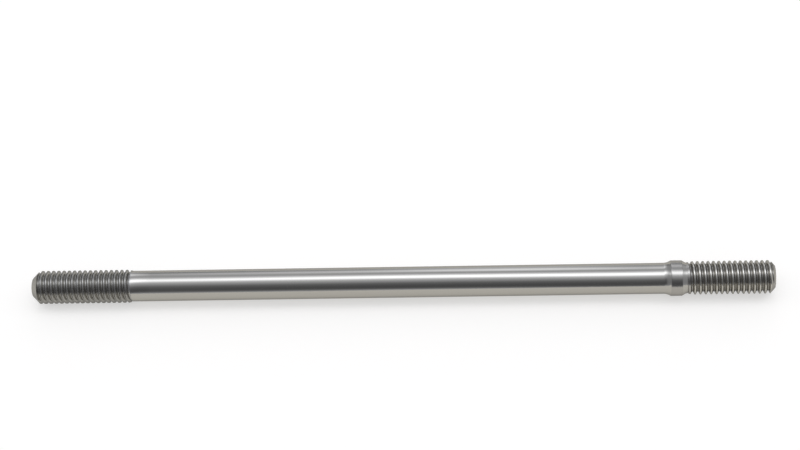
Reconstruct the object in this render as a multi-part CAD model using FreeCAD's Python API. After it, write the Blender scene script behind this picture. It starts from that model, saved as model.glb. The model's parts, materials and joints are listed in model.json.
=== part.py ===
# Double ended stud: one bar of steel, turned to a slim shank with a collar near one end, and
# with a right-hand thread on each end. A nut goes on the long thread, which fades out into the
# shank. The short thread starts at the collar, and screws into a casting until the collar seats.
# Both tips are bevelled.
import FreeCAD, Part
import math
import os
from FreeCAD import Vector

# Whole stud, in mm and degrees. Every angle of a cone is its slope to the stud's axis.
total_length = 174.0
shank_diameter = 7.25

# Thread, the same at both ends: metric coarse pitch, with flanks that meet in a sharp root
thread_size = 8.0
thread_pitch = 1.25
crest_diameter = 7.8
flank_angle = 60.0

# Nut end, from its bevelled tip to where the thread fades out into the shank
nut_tip_diameter = 4.6
nut_tip_bevel_angle = 45.0
nut_thread_length = 23.7
nut_crest_fade_angle = 14.5
nut_root_rise_angle = 17.5
nut_thread_phase_angle = 71.0

# Collar
collar_flare_radius = 3.0
collar_diameter = 8.3
collar_land_length = 2.6
collar_bevel_angle = 30.0

# Case end, from the neck behind the collar to its bevelled tip
neck_diameter = 7.25
neck_length = 0.15
case_crest_rise_angle = 10.0
case_root_fall_angle = 18.0
case_thread_length = 20.5
case_thread_phase_angle = 300.0
case_tip_diameter = 5.4
case_tip_bevel_angle = 48.0

# Radii that follow from the sizes above
shank_radius = shank_diameter / 2
crest_radius = crest_diameter / 2
nut_tip_radius = nut_tip_diameter / 2
collar_radius = collar_diameter / 2
neck_radius = neck_diameter / 2
case_tip_radius = case_tip_diameter / 2
clear_radius = crest_radius + thread_pitch

# The thread's groove is a full V. The nominal size cuts an eighth off the V's depth.
flank_slope = math.tan(math.radians(flank_angle / 2))
full_depth = thread_pitch / 2 / flank_slope
root_radius = thread_size / 2 - full_depth * 7 / 8

# Where a thread fades out, a cone lifts its root. The cone starts this far below the root.
cone_cover = 0.05
cone_radius = root_radius - cone_cover


def run(rise, angle):
    """How far a cone of this angle goes along the axis while its radius changes by rise."""
    return rise / math.tan(math.radians(angle))


# Stations along the axis, from the nut end to the case end
nut_tip = -total_length / 2
nut_thread_end = nut_tip + nut_thread_length
case_tip = total_length / 2
case_thread_start = case_tip - case_thread_length
collar_bevel_end = case_thread_start - neck_length
collar_land_end = collar_bevel_end - run(collar_radius - neck_radius, collar_bevel_angle)
collar_land_start = collar_land_end - collar_land_length
flare_turn = math.acos(1 - (collar_radius - shank_radius) / collar_flare_radius)
flare_start = collar_land_start - collar_flare_radius * math.sin(flare_turn)


def outline(*stations):
    """Straight edges from each (x, radius) station to the next."""
    points = [Vector(x, 0, radius) for x, radius in stations]
    return [Part.LineSegment(a, b).toShape() for a, b in zip(points, points[1:])]


def turned(edges):
    """The solid that the edges sweep about the X axis. They start and end on the axis."""
    wire = Part.Wire(edges)
    ends = [edges[0].Vertexes[0].Point, edges[-1].Vertexes[-1].Point]
    closing = Part.LineSegment(ends[1], ends[0]).toShape()
    face = Part.Face(Part.Wire(wire.Edges + [closing]))
    return face.revolve(Vector(0, 0, 0), Vector(1, 0, 0), 360)


def flare():
    """The hollow arc that leaves the shank along its surface and climbs to the collar."""
    def on_arc(turn):
        return Vector(flare_start + collar_flare_radius * math.sin(turn), 0,
                      shank_radius + collar_flare_radius * (1 - math.cos(turn)))
    return Part.Arc(on_arc(0), on_arc(flare_turn / 2), on_arc(flare_turn)).toShape()


def core():
    """The turned bar between the threads: shank, collar and neck. It starts and ends as a cone
    inside a thread, which lifts that thread's root up to the shank or the neck."""
    nut_cone = nut_thread_end - run(shank_radius - cone_radius, nut_root_rise_angle)
    case_cone = case_thread_start + run(neck_radius - cone_radius, case_root_fall_angle)
    return turned(
        outline((nut_cone, 0), (nut_cone, cone_radius), (nut_thread_end, shank_radius),
                (flare_start, shank_radius))
        + [flare()]
        + outline((collar_land_start, collar_radius), (collar_land_end, collar_radius),
                  (collar_bevel_end, neck_radius), (case_thread_start, neck_radius),
                  (case_cone, cone_radius), (case_cone, 0)))


def wound_edge(radius, x, phase_angle):
    """One turn of a right-hand helix about the X axis. It starts at x, turned by so many
    degrees from straight up."""
    span_count = 14
    advance = thread_pitch / span_count
    step = 2 * math.pi / span_count
    points = []
    speeds = []
    for i in range(span_count + 1):
        angle = math.radians(phase_angle) + i * step
        points.append(Vector(x + i * advance, -radius * math.sin(angle),
                             radius * math.cos(angle)))
        speeds.append(Vector(advance, -radius * step * math.cos(angle),
                             -radius * step * math.sin(angle)))
    curve = Part.BSplineCurve()
    curve.interpolate(Points=points, Parameters=list(range(span_count + 1)),
                      InitialTangent=speeds[0], FinalTangent=speeds[-1], Scale=False)
    return curve.toShape()


def threaded_bar(start, end, phase_angle):
    """A bar threaded over its whole length, which reaches past start and end by some spare
    turns. Each turn is three strips between helices: the flat crest and the two flanks."""
    spare_turns = 2
    crest_flat = thread_pitch - 2 * (crest_radius - root_radius) * flank_slope
    flank_run = (crest_radius - root_radius) * flank_slope
    section = [(0, crest_radius), (crest_flat, crest_radius),
               (crest_flat + flank_run, root_radius)]
    turns = math.ceil((end - start) / thread_pitch) + 2 * spare_turns
    first = start - spare_turns * thread_pitch
    rows = [[wound_edge(radius, first + k * thread_pitch + x, phase_angle)
             for x, radius in section] for k in range(turns)]
    last = first + turns * thread_pitch
    helices = [edge for row in rows for edge in row]
    helices.append(wound_edge(crest_radius, last, phase_angle))
    faces = [Part.makeRuledSurface(a, b) for a, b in zip(helices, helices[1:])]
    for x, helix in ((first, helices[0]), (last, helices[-1])):
        faces += stepped_end(x, helix, section, phase_angle)
    shell = Part.Compound(faces)
    shell.sewShape()
    return Part.Solid(shell.Shells[0])


def stepped_end(x, helix, section, phase_angle):
    """What closes a threaded bar: a ramp from the axis out to the end turn, and one wall."""
    phase = math.radians(phase_angle)
    out = Vector(0, -math.sin(phase), math.cos(phase))
    on_axis = [Vector(x, 0, 0), Vector(x + thread_pitch, 0, 0)]
    ramp = Part.makeRuledSurface(Part.LineSegment(*on_axis).toShape(), helix)
    tops = [Vector(x + dx, 0, 0) + out * radius for dx, radius in section]
    tops.append(on_axis[1] + out * crest_radius)
    wall = Part.makePolygon([on_axis[0]] + tops + [on_axis[1], on_axis[0]])
    return [ramp, Part.Face(wall)]


def nut_thread():
    """The long thread, bevelled at the tip, with crests that fade down to the shank."""
    bevel_end = nut_tip + run(clear_radius - nut_tip_radius, nut_tip_bevel_angle)
    fade_start = nut_thread_end - run(clear_radius - shank_radius, nut_crest_fade_angle)
    form = turned(outline((nut_tip, 0), (nut_tip, nut_tip_radius), (bevel_end, clear_radius),
                          (fade_start, clear_radius), (nut_thread_end, shank_radius),
                          (nut_thread_end, 0)))
    return threaded_bar(nut_tip, nut_thread_end, nut_thread_phase_angle).common(form)


def case_thread():
    """The short thread, with crests that rise out of the neck, bevelled at the tip."""
    rise_end = case_thread_start + run(clear_radius - neck_radius, case_crest_rise_angle)
    bevel_start = case_tip - run(clear_radius - case_tip_radius, case_tip_bevel_angle)
    form = turned(outline((case_thread_start, 0), (case_thread_start, neck_radius),
                          (rise_end, clear_radius), (bevel_start, clear_radius),
                          (case_tip, case_tip_radius), (case_tip, 0)))
    return threaded_bar(case_thread_start, case_tip, case_thread_phase_angle).common(form)


def stud():
    """The finished bar, lying level with the underside of its collar at height 0."""
    bar = core().fuse([nut_thread(), case_thread()])
    bar.translate(Vector(0, 0, collar_radius))
    return bar.Solids[0]


os.makedirs("parts", exist_ok=True)
stud().exportStep("parts/stud.step")
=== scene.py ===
# Double ended stud lying on a white table, seen from above and in front. One bar of steel holds
# it all: two rolled threads, a ground shank, and a collar behind the short thread.
import json
import math

import bmesh
import bpy
import numpy as np
from mathutils import Euler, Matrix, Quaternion, Vector


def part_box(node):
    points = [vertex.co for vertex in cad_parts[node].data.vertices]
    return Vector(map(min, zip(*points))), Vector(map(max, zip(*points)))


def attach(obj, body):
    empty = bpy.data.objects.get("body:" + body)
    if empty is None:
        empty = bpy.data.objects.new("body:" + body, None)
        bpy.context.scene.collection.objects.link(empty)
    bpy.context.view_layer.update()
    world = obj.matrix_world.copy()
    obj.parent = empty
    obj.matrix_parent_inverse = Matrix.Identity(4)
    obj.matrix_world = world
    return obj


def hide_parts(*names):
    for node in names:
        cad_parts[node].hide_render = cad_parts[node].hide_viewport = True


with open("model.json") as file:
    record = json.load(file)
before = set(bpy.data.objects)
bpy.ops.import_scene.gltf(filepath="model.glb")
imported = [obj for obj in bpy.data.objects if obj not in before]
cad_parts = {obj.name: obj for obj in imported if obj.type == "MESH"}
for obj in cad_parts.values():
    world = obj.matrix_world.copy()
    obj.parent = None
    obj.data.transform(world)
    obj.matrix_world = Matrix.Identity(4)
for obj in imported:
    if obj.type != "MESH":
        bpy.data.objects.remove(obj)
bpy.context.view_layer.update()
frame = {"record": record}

mm = 0.001

# Turned outline of the bar
# The stud is turned from drawn steel bar: a slim shank, a hollow flare up to the collar's
# land, and a bevel down to a short neck. The lengths and widths are the CAD part's.
mounts = {mount["name"]: mount for mount in frame["record"]["mounts"]}
low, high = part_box("stud")
nut_tip, case_tip = low.x, high.x
collar_radius = (high.z - low.z) / 2
axis_height = (high.z + low.z) / 2
shank_radius = 3.625 * mm
neck_radius = 3.625 * mm
flare_radius = 3.0 * mm
land_length = mounts["collar"]["dims"]["length_mm"] * mm
land_start = mounts["collar"]["pos_m"][0] - land_length / 2
land_end = land_start + land_length
nut_thread_end = nut_tip + mounts["nut_thread"]["dims"]["length_mm"] * mm
case_thread_start = case_tip - mounts["case_thread"]["dims"]["length_mm"] * mm
collar_bevel = math.tan(math.radians(30))
bevel_end = land_end + (collar_radius - neck_radius) / collar_bevel
shank_rings = 28
flare_rings = 10
edge_break = 0.06 * mm
columns = 144
turn_angles = np.linspace(0, 2 * np.pi, columns + 1)


def ring_rows(stations):
    """Rows of a round surface: each (x, radius) station is one ring of constant radius."""
    x, radius = np.array(stations).T
    flat = np.ones_like(turn_angles)
    return x[:, None] * flat, radius[:, None] * flat


def shank_and_collar():
    """Rings of the shank and flare, of the land, and of the bevel and neck. The flare is an arc
    that leaves the shank along its surface: radius = shank + R (1 - cos t), x = R sin t."""
    top = math.acos(1 - (collar_radius - shank_radius) / flare_radius)
    flare_start = land_start - flare_radius * math.sin(top)
    shank = [(x, shank_radius) for x in np.linspace(nut_thread_end, flare_start, shank_rings)]
    flare = [(flare_start + flare_radius * math.sin(t),
              shank_radius + flare_radius * (1 - math.cos(t)))
             for t in np.linspace(0, top, flare_rings)[1:-1]]
    # The second ring in from each edge keeps the reflections straight up to the edge.
    land = [(land_start - edge_break, collar_radius - edge_break * math.tan(top)),
            (land_start + edge_break, collar_radius),
            (land_start + 3 * edge_break, collar_radius),
            (land_end - 3 * edge_break, collar_radius),
            (land_end - edge_break, collar_radius)]
    neck = [(land_end + edge_break, collar_radius - edge_break * collar_bevel),
            (bevel_end, neck_radius), (case_thread_start, neck_radius)]
    return ring_rows(shank + flare), ring_rows(land), ring_rows(neck)


# Rolled threads
# Both threads are metric coarse, rolled between dies: 60 degree flanks, a flat crest with worn
# corners and a rounded root. Each fades out towards the middle of the bar in about one turn.
thread_size = 8.0 * mm
pitch = 1.25 * mm
crest_radius = mounts["nut_thread"]["dims"]["r_mm"] * mm
half_angle = math.radians(30)
flank_lean = math.tan(half_angle)
sharp_root = thread_size / 2 - 7 / 8 * pitch / 2 / flank_lean
flank_run = (crest_radius - sharp_root) * flank_lean
crest_flat = pitch - 2 * flank_run
root_rounding = 0.14 * mm
corner_rounding = 0.05 * mm
root_rows = 4
spare_turns = 2


def thread_radius(x, crest_start):
    """Radius of an endless thread at x. The distance v to the nearest root gives a flank,
    root + v / tan 30, held under the crest. Circles round the root and the crest's corners."""
    v = np.abs((x - crest_start + flank_run + pitch / 2) % pitch - pitch / 2)
    radius = np.minimum(sharp_root + v / flank_lean, crest_radius)
    in_root = v < root_rounding * math.cos(half_angle)
    arc = np.sqrt(np.maximum(root_rounding ** 2 - v ** 2, 0))
    radius = np.where(in_root, sharp_root + 2 * root_rounding - arc, radius)
    inside = flank_run + corner_rounding * flank_lean - v
    on_corner = (inside > 0) & (inside < corner_rounding * math.cos(half_angle))
    arc = np.sqrt(np.maximum(corner_rounding ** 2 - inside ** 2, 0))
    return np.where(on_corner, crest_radius - corner_rounding + arc, radius)


def flank_meets(cone, corner, side):
    """The x where a flank that falls from the crest's corner, crest - side (x - corner) / tan 30,
    crosses a cone, radius + slope (x - at). Side is 1 to the right and -1 to the left. A cone
    that passes over the corner gives the corner."""
    at, radius, slope = cone
    over = radius + slope * (corner - at)
    steep = side / flank_lean
    crossing = (crest_radius - radius + slope * at + steep * corner) / (steep + slope)
    return np.where(over < crest_radius, crossing, corner)


def thread_rows(start, end, phase, left_cone, right_cone, root_cone):
    """Rows of a thread from start to end. Every row winds forward by one pitch a turn: x = start
    + pitch (turn + (angle - phase) / 360) + its place in the profile. It is held at the
    thread's ends, where it closes into a ring. Rows follow the crest's corners, also where a
    cone cuts them, and the rounded root between two flanks."""
    turns = np.arange(-spare_turns, math.ceil((end - start) / pitch) + spare_turns)
    wound = turn_angles / (2 * np.pi) - phase / 360
    first = start + pitch * (turns[:, None] + wound)
    left_half = first < (start + end) / 2
    tops = [np.where(left_half, flank_meets(left_cone, corner, side),
                     flank_meets(right_cone, corner, side))
            for corner, side in ((first, -1), (first + crest_flat, 1))]
    tangent = flank_run - root_rounding * math.cos(half_angle)
    feet = []
    for corner, side in ((first, -1), (first + crest_flat, 1)):
        foot = corner + side * tangent
        meets_core = flank_meets(root_cone, corner, side)
        feet.append(np.where(side * (meets_core - foot) < 0, meets_core, foot))
    next_foot = np.vstack([feet[0][1:], feet[0][-1:] + pitch])
    share = np.linspace(0, 1, root_rows + 2)[:, None, None]
    grooves = feet[1] + share * (next_foot - feet[1])
    soft = corner_rounding * flank_lean
    rows = [tops[0] - soft / 2, tops[0], tops[0] + soft,
            tops[1] - soft, tops[1], tops[1] + soft / 2, *grooves]
    x = np.stack(rows, axis=1).reshape(-1, len(turn_angles))
    crest_start = np.repeat(first, len(rows), axis=0)
    x = np.maximum.accumulate(np.clip(x, start, end), axis=0)
    form = [radius + slope * (x - at) for at, radius, slope in (left_cone, right_cone)]
    core = root_cone[1] + root_cone[2] * (x - root_cone[0])
    radius = np.minimum(thread_radius(x, crest_start), np.minimum(*form))
    return x, np.maximum(radius, np.minimum(core, np.minimum(*form)))


nut_tip_radius = 2.3 * mm
case_tip_radius = 2.7 * mm
# Each cone that bevels a thread, or fades it out, is a place along the axis, its radius there
# and its slope.
nut_bevel = (nut_tip, nut_tip_radius, math.tan(math.radians(45)))
nut_fade = (nut_thread_end, shank_radius, -math.tan(math.radians(14.5)))
nut_root_rise = (nut_thread_end, shank_radius, math.tan(math.radians(17.5)))
case_rise = (case_thread_start, neck_radius, math.tan(math.radians(10)))
case_root_fall = (case_thread_start, neck_radius, -math.tan(math.radians(18)))
case_bevel = (case_tip, case_tip_radius, -math.tan(math.radians(48)))
# A thread's phase is the angle from straight up, in degrees, at which a crest leaves its start.
nut_phase, case_phase = 71.0, 300.0
nut_thread = thread_rows(nut_tip, nut_thread_end, nut_phase, nut_bevel, nut_fade,
                         nut_root_rise)
case_thread = thread_rows(case_thread_start, case_tip, case_phase, case_rise, case_bevel,
                          case_root_fall)


# Whole bar
# One closed skin runs from the middle of one sawn tip to the middle of the other. It takes the
# place of the CAD solid, and is ground on the shank and collar and rolled on the threads.
merge_distance = 0.001 * mm
sharp_edge = math.radians(32)
nut_face = ring_rows([(nut_tip, 0), (nut_tip, nut_tip_radius / 2)])
case_face = ring_rows([(case_tip, case_tip_radius / 2), (case_tip, 0)])


def wrapped_mesh(name, blocks):
    """A closed mesh from blocks of rows, each with its material's number. A point stands at
    y = -radius sin(angle), z = axis + radius cos(angle), and points that meet are merged."""
    x = np.vstack([rows[0] for rows, material in blocks])
    radius = np.vstack([rows[1] for rows, material in blocks])
    points = np.stack([x, -radius * np.sin(turn_angles),
                       axis_height + radius * np.cos(turn_angles)], axis=-1)
    count = np.arange(x.size).reshape(x.shape)
    quads = np.stack([count[:-1, :-1], count[:-1, 1:], count[1:, 1:], count[1:, :-1]], axis=-1)
    row_material = np.concatenate([np.full(len(rows[0]), material) for rows, material in blocks])
    mesh = bpy.data.meshes.new(name)
    mesh.from_pydata(points.reshape(-1, 3).tolist(), [], quads.reshape(-1, 4).tolist())
    mesh.polygons.foreach_set("material_index", np.repeat(row_material[:-1], columns))
    shell = bmesh.new()
    shell.from_mesh(mesh)
    bmesh.ops.remove_doubles(shell, verts=shell.verts, dist=merge_distance)
    bmesh.ops.recalc_face_normals(shell, faces=shell.faces)
    shell.to_mesh(mesh)
    shell.free()
    mesh.shade_smooth()
    mesh.set_sharp_from_angle(angle=sharp_edge)
    return mesh


shank_rows, land_rows, neck_rows = shank_and_collar()
shank_finish, land_finish, nut_finish, case_finish = range(4)
bar_mesh = wrapped_mesh("threaded_bar", [
    (nut_face, nut_finish), (nut_thread, nut_finish), (shank_rows, shank_finish),
    (land_rows, land_finish), (neck_rows, shank_finish), (case_thread, case_finish),
    (case_face, case_finish)])
bar = bpy.data.objects.new("threaded_bar", bar_mesh)
bpy.context.scene.collection.objects.link(bar)
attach(bar, "root")
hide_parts("stud")


# Finish of the bar, and painted light and shade
# All of the bar is plain carbon steel, with no plating, under a thin film of oil. Each part of it
# has its own grey, partly from the way it was made and partly painted light and shade: on the
# threads and on the collar's land. The wheel's marks and the dies' grain are drawn several
# times wider than they are, because the real ones are too fine to show.
mark_length = 8 * mm
mark_depth = 0.004 * mm
oil_patch = 9 * mm
grain_size = 0.35 * mm
grain_depth = 0.01 * mm
grain_strength = 0.2
# Between these depths under the crest the threads' painted light and shade turns from the root's
# colour to the crest's.
root_tone_depth = 0.15 * mm
crest_tone_depth = 0.03 * mm
# Seen nearly edge-on, steel reflects less than a perfect mirror would.
ground_edge_tint, rolled_edge_tint = "#c8c8c8", "#bcbcbc"
# Nearly all of a noise pattern lies between these two values.
noise_low, noise_high = 0.3, 0.7


def linear(hex_colour):
    """An sRGB colour written in hex, as linear red, green, blue and alpha: a channel up to
    0.04045 is divided by 12.92, and any other is ((c + 0.055) / 1.055) to the power 2.4."""
    channels = [int(hex_colour[i:i + 2], 16) / 255 for i in (1, 3, 5)]
    return tuple(c / 12.92 if c <= 0.04045 else ((c + 0.055) / 1.055) ** 2.4
                 for c in channels) + (1.0,)


def add_node(tree, kind, inputs=None, **settings):
    """A new node with these settings. Each input is a plain value, or a socket to link from."""
    node = tree.nodes.new(kind)
    for name, value in settings.items():
        setattr(node, name, value)
    for name, value in (inputs or {}).items():
        if isinstance(value, bpy.types.NodeSocket):
            tree.links.new(value, node.inputs[name])
        else:
            node.inputs[name].default_value = value
    return node


def new_material(name):
    """An empty node material with this name, and its node tree."""
    material = bpy.data.materials.new(name)
    material.use_nodes = True
    material.node_tree.nodes.clear()
    return material, material.node_tree


def ground_steel(name, colour, bright, dull, mark_width, mark_strength):
    """Ground carbon steel, with the wheel's marks round the bar, which give the reflections a
    slightly grainy edge. A thin film of oil in patches takes its roughness from bright to dull."""
    material, tree = new_material(name)
    place = add_node(tree, "ShaderNodeTexCoord").outputs["Object"]
    marks_at = add_node(tree, "ShaderNodeMapping", {
        "Vector": place, "Scale": (1 / mark_width, 1 / mark_length, 1 / mark_length)}).outputs[0]
    marks = add_node(tree, "ShaderNodeTexNoise", {
        "Vector": marks_at, "Scale": 1.0, "Detail": 3.0, "Roughness": 0.6}).outputs[0]
    patches = add_node(tree, "ShaderNodeTexNoise", {
        "Vector": place, "Scale": 1 / oil_patch, "Detail": 2.0}).outputs[0]
    rough = add_node(tree, "ShaderNodeMapRange", {
        "Value": patches, "From Min": noise_low, "From Max": noise_high,
        "To Min": bright, "To Max": dull})
    bump = add_node(tree, "ShaderNodeBump", {
        "Height": marks, "Strength": mark_strength, "Distance": mark_depth})
    steel = add_node(tree, "ShaderNodeBsdfPrincipled", {
        "Base Color": linear(colour), "Metallic": 1.0,
        "Specular Tint": linear(ground_edge_tint), "Roughness": rough.outputs[0],
        "Normal": bump.outputs[0]})
    add_node(tree, "ShaderNodeOutputMaterial", {"Surface": steel.outputs[0]})
    return material


def thread_steel(name, root_colour, crest_colour, bright, dull):
    """Rolled carbon steel thread, with the fine grain that the rolling dies leave. Its colour,
    painted light and shade, goes from the root's to the crest's over the top of the flanks, and
    its roughness goes from bright to dull with the grain."""
    material, tree = new_material(name)
    place = add_node(tree, "ShaderNodeTexCoord").outputs["Object"]
    from_axis = add_node(tree, "ShaderNodeVectorMath", {
        0: place, 1: (0, 0, -axis_height)}, operation="ADD").outputs[0]
    across = add_node(tree, "ShaderNodeVectorMath", {
        0: from_axis, 1: (0, 1, 1)}, operation="MULTIPLY").outputs[0]
    radius = add_node(tree, "ShaderNodeVectorMath", {0: across}, operation="LENGTH")
    grain = add_node(tree, "ShaderNodeTexNoise", {
        "Vector": place, "Scale": 1 / grain_size, "Detail": 3.0}).outputs[0]
    up_flank = add_node(tree, "ShaderNodeMapRange", {
        "Value": radius.outputs["Value"], "From Min": crest_radius - root_tone_depth,
        "From Max": crest_radius - crest_tone_depth})
    tone = add_node(tree, "ShaderNodeMix", {
        "Factor": up_flank.outputs[0], "A": linear(root_colour), "B": linear(crest_colour)},
        data_type="RGBA")
    rough = add_node(tree, "ShaderNodeMapRange", {
        "Value": grain, "From Min": noise_low, "From Max": noise_high,
        "To Min": bright, "To Max": dull})
    bump = add_node(tree, "ShaderNodeBump", {
        "Height": grain, "Strength": grain_strength, "Distance": grain_depth})
    steel = add_node(tree, "ShaderNodeBsdfPrincipled", {
        "Base Color": tone.outputs["Result"], "Metallic": 1.0,
        "Specular Tint": linear(rolled_edge_tint), "Roughness": rough.outputs[0],
        "Normal": bump.outputs[0]})
    add_node(tree, "ShaderNodeOutputMaterial", {"Surface": steel.outputs[0]})
    return material


# The shank is centreless ground, which leaves it a bright and even grey.
bar_mesh.materials.append(ground_steel("centreless_ground_steel", "#a7a49c", 0.10, 0.15,
                                       0.25 * mm, 0.12))
# The collar's land is plunge ground, which leaves it duller, with faint lines round it. Its
# grey is a little darker, partly from that finish and partly as painted shade, for the deeper
# shadow of the table that the land reflects.
bar_mesh.materials.append(ground_steel("plunge_ground_steel_and_painted_shade", "#9d9a93", 0.15, 0.20,
                                       0.5 * mm, 0.35))
# The long thread is dull with oil. Its roots are painted lighter than its crests: painted
# light in its shaded grooves, and painted shade that dims the highlight on its crests.
bar_mesh.materials.append(thread_steel("oiled_rolled_thread_steel_painted_light_and_shade", "#a09e98", "#8c8a84",
                                       0.18, 0.28))
# The short thread is cleaner and smoother. Its crests are painted lighter, as a painted
# highlight, and its roots darker, as painted shade in its grooves.
bar_mesh.materials.append(thread_steel("bright_rolled_thread_steel_painted_highlight_and_shade", "#9e9b94", "#b0ada4",
                                       0.14, 0.22))


# Table top
# The stud lies loose on a large sheet of matt white card. The card comes out white in the
# picture, and keeps the stud's shadow.
card_colour = "#c4c0b7"
table_half = 3.0
table_light = 0.52


def white_table():
    """A flat square of matt white card. Its own light brings it up to white where nothing
    shades it, for what the camera sees and for what metal and glass show."""
    corners = [(-table_half, -table_half, 0), (table_half, -table_half, 0),
               (table_half, table_half, 0), (-table_half, table_half, 0)]
    mesh = bpy.data.meshes.new("table_top")
    mesh.from_pydata(corners, [], [(0, 1, 2, 3)])
    material, tree = new_material("matt_white_card")
    card = add_node(tree, "ShaderNodeBsdfDiffuse", {"Color": linear(card_colour)})
    rays = add_node(tree, "ShaderNodeLightPath")
    seen = rays.outputs["Is Camera Ray"]
    for kind in ("Is Glossy Ray", "Is Transmission Ray"):
        seen = add_node(tree, "ShaderNodeMath", {0: seen, 1: rays.outputs[kind]},
                        operation="MAXIMUM").outputs[0]
    lift = add_node(tree, "ShaderNodeMath", {0: seen, 1: table_light}, operation="MULTIPLY")
    glow = add_node(tree, "ShaderNodeEmission", {"Strength": lift.outputs[0]})
    both = add_node(tree, "ShaderNodeAddShader", {0: card.outputs[0], 1: glow.outputs[0]})
    add_node(tree, "ShaderNodeOutputMaterial", {"Surface": both.outputs[0]})
    mesh.materials.append(material)
    table = bpy.data.objects.new("table_top", mesh)
    bpy.context.scene.collection.objects.link(table)


white_table()


# Light
# A bright soft box hangs behind the stud, and comes a little nearer at the right end. The room in
# front is dim above a pale horizon, the far side is pale and brightest straight behind the stud,
# and pale walls stand far off at both ends.
room_stops = [(0, 0.80), (4, 0.60), (9, 0.33), (13.5, 0.225), (20, 0.155), (29, 0.155),
              (37, 0.178), (44, 0.22), (52, 0.285), (59, 0.42), (66, 0.61), (74, 0.80),
              (132, 0.74), (136, 0.80), (144, 1.18), (150, 1.35), (155, 1.35), (161, 1.02),
              (167, 0.78), (180, 0.75)]
soft_box_stops = [(72, 0.0), (78, 0.16), (82, 0.35), (85, 0.78), (92, 1.75), (96, 2.5),
                  (101, 2.5), (108.5, 1.47), (117, 0.48), (125, 0.08), (130, 0.0)]
far_side_stops = [(-0.40, 0.55), (-0.26, 0.55), (-0.20, 0.76), (-0.09, 1.0), (-0.02, 1.45),
                  (0.02, 1.45), (0.06, 1.0), (0.12, 0.80), (0.40, 0.80)]
far_side_starts, far_side_full = 132, 145
soft_box_middle = 0.1
soft_box_even, soft_box_faded, soft_box_end_share = 0.15, 0.65, 0.35
turn_starts, turn_ends, right_end_turn = -0.05, 0.07, 6.5
walls_start, walls_full, wall_share = 0.15, 0.55, 0.65
left_wall, right_wall, wall_change = 0.48, 0.62, 0.3
sky_colour, sky_level = "#eff3ff", 1.09


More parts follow.
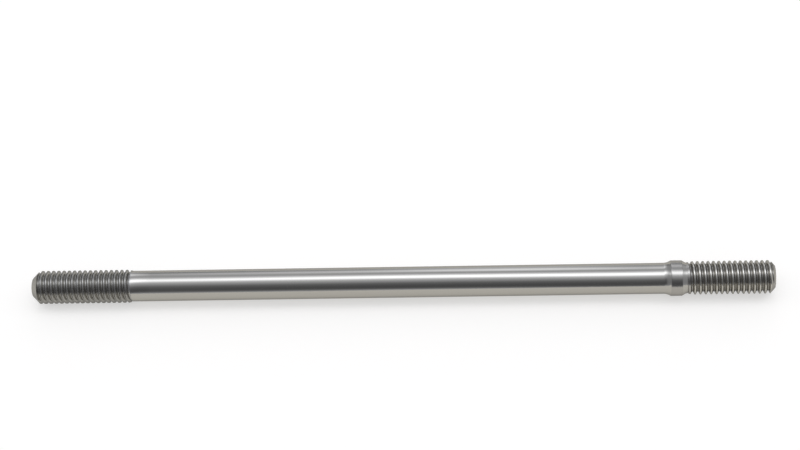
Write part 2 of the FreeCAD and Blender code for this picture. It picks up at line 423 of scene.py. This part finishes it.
def studio_light():
    """World light by direction. The angle round the stud's length, from the near horizon over
    the top to the far one, reads two ramps of (degrees, strength) stops, for the room and for
    the soft box. Towards the right both are read up to right_end_turn degrees further on.
    How far a direction leans along the stud, its X, sets all else: a third ramp of (X, share)
    stops changes the room's far side, the room blends into the walls' strength, and the soft
    box fades to its end share."""
    world = bpy.data.worlds.new("studio")
    bpy.context.scene.world = world
    world.use_nodes = True
    tree = world.node_tree
    tree.nodes.clear()
    towards = add_node(tree, "ShaderNodeTexCoord").outputs["Generated"]
    axes = add_node(tree, "ShaderNodeSeparateXYZ", {"Vector": towards})
    near = add_node(tree, "ShaderNodeMath", {0: axes.outputs["Y"], 1: -1.0},
                    operation="MULTIPLY").outputs[0]
    above = add_node(tree, "ShaderNodeMath", {0: axes.outputs["Z"], 1: 0.0},
                     operation="MAXIMUM").outputs[0]
    angle = add_node(tree, "ShaderNodeMath", {0: above, 1: near}, operation="ARCTAN2")
    beside = add_node(tree, "ShaderNodeMath", {0: axes.outputs["X"]}, operation="ABSOLUTE")
    to_middle = add_node(tree, "ShaderNodeMapRange", {
        "Value": beside.outputs[0], "From Min": walls_start, "From Max": walls_full,
        "To Min": 1.0, "To Max": 0.0}, interpolation_type="SMOOTHSTEP").outputs[0]
    skew = add_node(tree, "ShaderNodeMapRange", {
        "Value": axes.outputs["X"], "From Min": turn_starts, "From Max": turn_ends,
        "To Max": right_end_turn / 180})
    turn = add_node(tree, "ShaderNodeMath", {0: skew.outputs[0], 1: to_middle},
                    operation="MULTIPLY")
    share = add_node(tree, "ShaderNodeMath", {
        0: angle.outputs[0], 1: 1 / math.pi, 2: turn.outputs[0]}, operation="MULTIPLY_ADD")
    along = add_node(tree, "ShaderNodeMapRange", {
        "Value": axes.outputs["X"], "From Min": -1.0, "From Max": 1.0})
    strengths = []
    for stops, read_at, first, last in ((room_stops, share, 0, 180),
                                        (soft_box_stops, share, 0, 180),
                                        (far_side_stops, along, -1, 1)):
        brightest = max(strength for stop, strength in stops)
        ramp = add_node(tree, "ShaderNodeValToRGB", {"Fac": read_at.outputs[0]})
        elements = ramp.color_ramp.elements
        while len(elements) < len(stops):
            elements.new(1.0)
        for element, (stop, strength) in zip(elements, stops):
            element.position = (stop - first) / (last - first)
            element.color = (strength / brightest,) * 3 + (1.0,)
        strengths.append(add_node(tree, "ShaderNodeMath", {0: ramp.outputs[0], 1: brightest},
                                  operation="MULTIPLY").outputs[0])
    room_light, soft_box, far_side_share = strengths
    on_far_side = add_node(tree, "ShaderNodeMapRange", {
        "Value": share.outputs[0], "From Min": far_side_starts / 180,
        "From Max": far_side_full / 180})
    room_share = add_node(tree, "ShaderNodeMix", {
        "Factor": on_far_side.outputs[0], "A": 1.0, "B": far_side_share})
    room = add_node(tree, "ShaderNodeMath", {0: room_light, 1: room_share.outputs[0]},
                    operation="MULTIPLY")
    walls = add_node(tree, "ShaderNodeMapRange", {
        "Value": to_middle, "From Min": 1.0, "From Max": 0.0, "To Max": wall_share})
    wall = add_node(tree, "ShaderNodeMapRange", {
        "Value": axes.outputs["X"], "From Min": -wall_change, "From Max": wall_change,
        "To Min": left_wall, "To Max": right_wall})
    even = add_node(tree, "ShaderNodeMix", {
        "Factor": walls.outputs[0], "A": room.outputs[0], "B": wall.outputs[0]})
    off_middle = add_node(tree, "ShaderNodeMath", {0: axes.outputs["X"], 1: soft_box_middle},
                          operation="SUBTRACT")
    distance_off = add_node(tree, "ShaderNodeMath", {0: off_middle.outputs[0]},
                            operation="ABSOLUTE")
    fade = add_node(tree, "ShaderNodeMapRange", {
        "Value": distance_off.outputs[0], "From Min": soft_box_even,
        "From Max": soft_box_faded, "To Min": 1.0, "To Max": soft_box_end_share})
    total = add_node(tree, "ShaderNodeMath", {
        0: soft_box, 1: fade.outputs[0], 2: even.outputs[0]}, operation="MULTIPLY_ADD")
    level = add_node(tree, "ShaderNodeMath", {0: total.outputs[0], 1: sky_level},
                     operation="MULTIPLY")
    sky = add_node(tree, "ShaderNodeBackground", {
        "Color": linear(sky_colour), "Strength": level.outputs[0]})
    add_node(tree, "ShaderNodeOutputWorld", {"Surface": sky.outputs[0]})


studio_light()


# Camera
# A long lens looks down on the stud from the front, a little from the right, and is tipped so
# that the stud climbs slightly across the picture, below its middle. The photo looks cut from
# a larger one, so the lens is shifted sideways.
frame_width, frame_height = 800, 450
lens, sensor_width, shift = 76.5, 36.0, -0.085
aim = Vector((15.60 * mm, 0, axis_height))
azimuth, elevation, roll = math.radians(4.0), math.radians(59), math.radians(-4.278)
distance = 398.45 * mm
aim_row = 281.17


def photo_camera():
    """The camera aims at a point on the stud's axis, is rolled about that line of sight, and
    is then tilted so that the point lands on its row of the picture."""
    data = bpy.data.cameras.new("camera")
    data.sensor_width = sensor_width
    data.lens = lens
    data.shift_x = shift
    back = Vector((math.sin(azimuth) * math.cos(elevation),
                   -math.cos(azimuth) * math.cos(elevation), math.sin(elevation)))
    tilt = math.atan((aim_row - frame_height / 2) / (lens / sensor_width * frame_width))
    camera = bpy.data.objects.new("camera", data)
    camera.location = aim + back * distance
    camera.rotation_mode = "QUATERNION"
    camera.rotation_quaternion = (Quaternion(back, roll)
                                  @ (-back).to_track_quat("-Z", "Y")
                                  @ Euler((tilt, 0, 0)).to_quaternion())
    data.clip_start = 0.01
    data.clip_end = 20.0
    bpy.context.scene.collection.objects.link(camera)
    bpy.context.scene.camera = camera


photo_camera()
bpy.context.scene.view_settings.view_transform = "Standard"
